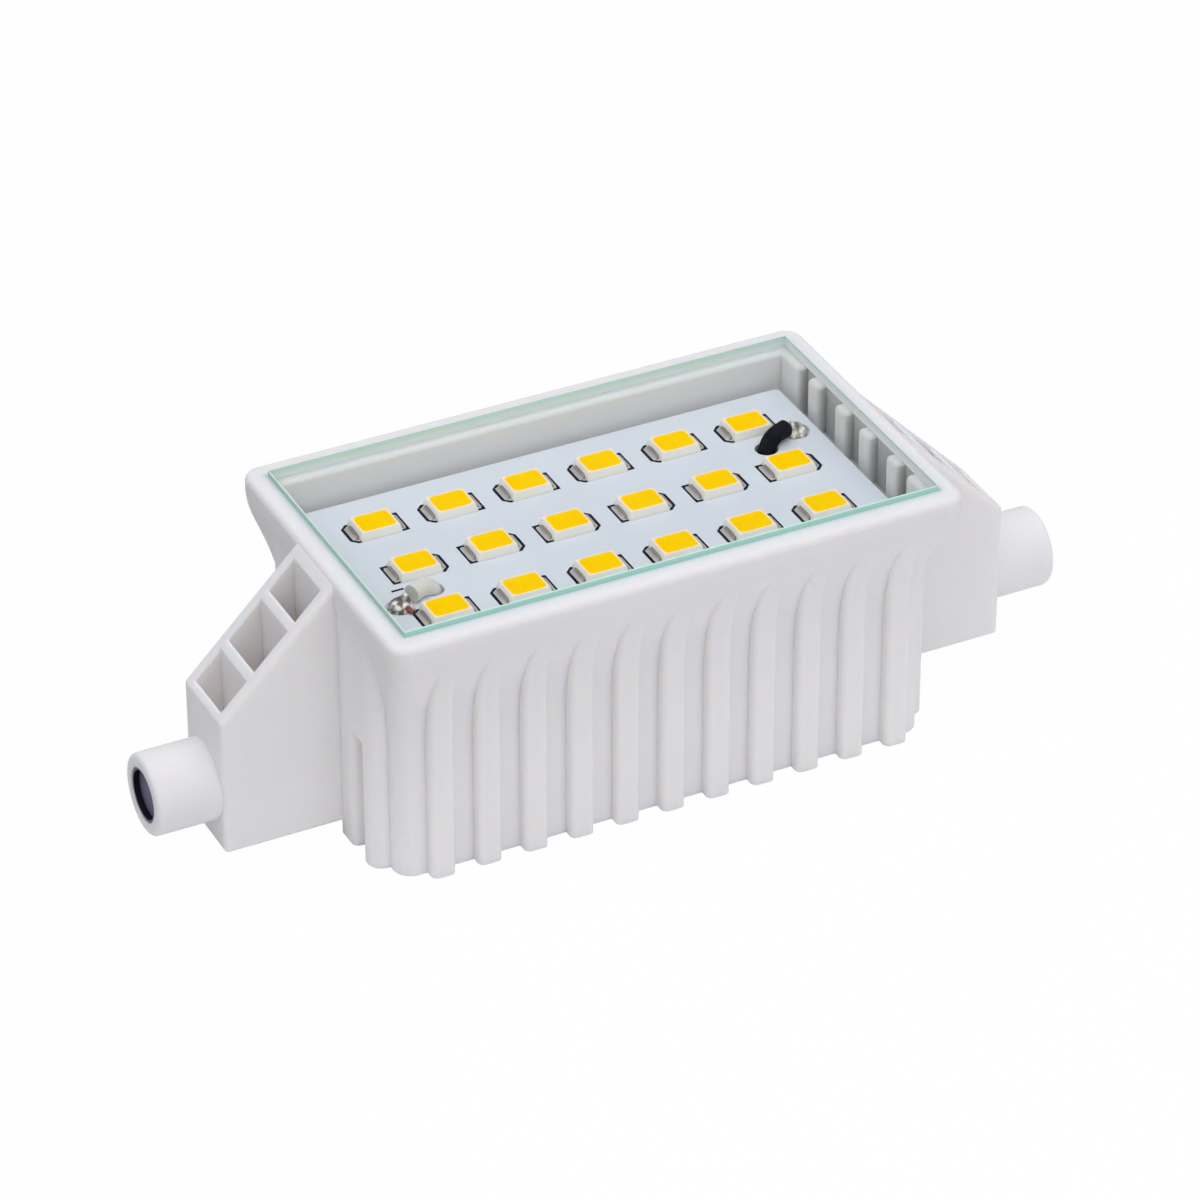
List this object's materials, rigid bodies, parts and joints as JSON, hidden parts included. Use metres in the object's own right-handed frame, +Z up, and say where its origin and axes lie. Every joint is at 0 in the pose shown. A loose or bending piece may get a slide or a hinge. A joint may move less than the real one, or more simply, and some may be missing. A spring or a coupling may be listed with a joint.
{
  "type": "linear led bulb",
  "caption": "Double-ended linear LED bulb: white ribbed housing with a flared rim, pocketed end wings, round caps and a clear glass cover over its LEDs.",
  "frame": {"origin": "middle of the flat underside of the housing, on the lamp's lengthwise middle", "axes": "+X along the lamp from cap to cap, +Z up from the base to the glass, +Y across to the back long side"},
  "size_m": [0.078, 0.0286, 0.0236],
  "materials": {
    "housing_white": "matt white moulding",
    "clear_glass": "clear, greenish cut edges",
    "board_white": "white solder mask",
    "led_white": "cream white",
    "phosphor": "yellow phosphor resin",
    "solder": "bright solder",
    "black_sleeve": "satin",
    "white_sleeve": "satin",
    "contact_metal": "nickel plated, dull",
    "driver_green": "satin solder mask",
    "black_resin": "matt",
    "can_sleeve": "shrink sleeve",
    "resistor_body": "coated",
    "ferrite": "matt"
  },
  "bodies": {
    "root": {"housing": "housing_white", "glass_cover": "clear_glass", "led_board": "board_white", "led_body_01": "led_white", "led_window_01": "phosphor", "led_body_02": "led_white", "led_window_02": "phosphor", "led_body_03": "led_white", "led_window_03": "phosphor", "led_body_04": "led_white", "led_window_04": "phosphor", "led_body_05": "led_white", "led_window_05": "phosphor", "led_body_06": "led_white", "led_window_06": "phosphor", "led_body_07": "led_white", "led_window_07": "phosphor", "led_body_08": "led_white", "led_window_08": "phosphor", "led_body_09": "led_white", "led_window_09": "phosphor", "led_body_10": "led_white", "led_window_10": "phosphor", "led_body_11": "led_white", "led_window_11": "phosphor", "led_body_12": "led_white", "led_window_12": "phosphor", "led_body_13": "led_white", "led_window_13": "phosphor", "led_body_14": "led_white", "led_window_14": "phosphor", "led_body_15": "led_white", "led_window_15": "phosphor", "led_body_16": "led_white", "led_window_16": "phosphor", "led_body_17": "led_white", "led_window_17": "phosphor", "led_body_18": "led_white", "led_window_18": "phosphor", "led_solder": "solder", "black_lead": "black_sleeve", "white_lead": "white_sleeve", "solder_joint_positive": "solder", "solder_joint_negative": "solder", "contact_left": "contact_metal", "contact_right": "contact_metal", "contact_lead_left": "white_sleeve", "contact_lead_right": "white_sleeve", "driver_board": "driver_green", "rectifier": "black_resin", "driver_chip": "black_resin", "capacitor": "can_sleeve", "fusible_resistor": "resistor_body", "choke": "ferrite"}
  },
  "joints": []
}
